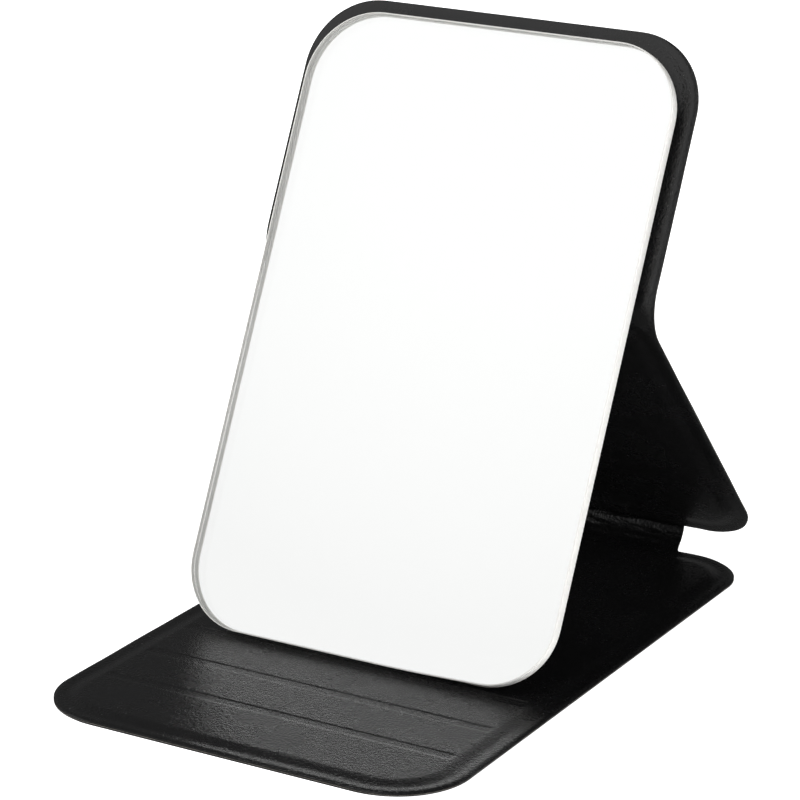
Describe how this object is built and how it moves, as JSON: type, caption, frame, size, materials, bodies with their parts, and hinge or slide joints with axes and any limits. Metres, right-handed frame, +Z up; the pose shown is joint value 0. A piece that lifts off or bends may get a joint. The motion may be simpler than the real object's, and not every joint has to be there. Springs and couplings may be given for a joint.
{
  "type": "folding countertop mirror",
  "caption": "Frameless rounded mirror bonded to the top panel of a folding book-style leatherette case; the case folds into a prop and the mirror's foot rests in a groove of the flat base.",
  "frame": {"origin": "centre of the base panel's underside, which rests on the countertop", "axes": "+Z up, +X across the width, +Y to the back where the spine is; the mirror faces -Y and leans back towards +Y"},
  "size_m": [0.11, 0.1767, 0.1472],
  "materials": {
    "cover_leatherette": "black pebbled PU leatherette, satin",
    "lining_leatherette": "black pebbled PU leatherette, semi-gloss",
    "greyboard": "matte greyboard",
    "backing_cloth": "matte woven backing with glue",
    "foam_tape": "matte foam tape",
    "safety_film": "matte vinyl film",
    "back_paint": "matte mirror backing paint",
    "silver": "silvered",
    "glass": "clear float glass, ground edges"
  },
  "bodies": {
    "base": {"base_cover_skin": "cover_leatherette", "base_core_board": "greyboard", "base_rim_cloth": "backing_cloth", "base_lining_skin": "lining_leatherette", "crease_spine_cover": "cover_leatherette", "crease_spine_lining": "lining_leatherette"},
    "spine": {"spine_cover_skin": "cover_leatherette", "spine_cloth": "backing_cloth", "spine_lining_skin": "lining_leatherette", "crease_prop_cover": "cover_leatherette", "crease_prop_lining": "lining_leatherette"},
    "prop": {"prop_cover_skin": "cover_leatherette", "prop_core_board": "greyboard", "prop_rim_cloth": "backing_cloth", "prop_lining_skin": "lining_leatherette", "crease_middle_cover": "cover_leatherette", "crease_middle_lining": "lining_leatherette"},
    "mirror_panel": {"top_cover_skin": "cover_leatherette", "top_core_board": "greyboard", "top_rim_cloth": "backing_cloth", "top_lining_skin": "lining_leatherette", "mirror_tape": "foam_tape", "mirror_safety_film": "safety_film", "mirror_back_paint": "back_paint", "mirror_silver": "silver", "mirror_glass": "glass"}
  },
  "joints": [
    {"name": "spine_fold", "type": "hinge", "parent": "base", "child": "spine", "pos_m": [0, 0.0855, 0.00042], "axis": [1, 0, 0], "range_deg": [-27.5, 10.7], "deforming": ["crease_spine_cover", "crease_spine_lining"]},
    {"name": "prop_fold", "type": "hinge", "parent": "spine", "child": "prop", "pos_m": [0, 0.09169, 0.00651], "axis": [1, 0, 0], "range_deg": [-103.5, 0], "deforming": ["crease_prop_cover", "crease_prop_lining"]},
    {"name": "mirror_fold", "type": "hinge", "parent": "prop", "child": "mirror_panel", "pos_m": [0, 0.02011, 0.08457], "axis": [1, 0, 0], "range_deg": [-26.5, 68.4], "deforming": ["crease_middle_cover", "crease_middle_lining"]}
  ],
  "couplings": [
    {"joint": "spine_fold", "follows": "mirror_fold", "ratio": -0.4}
  ]
}
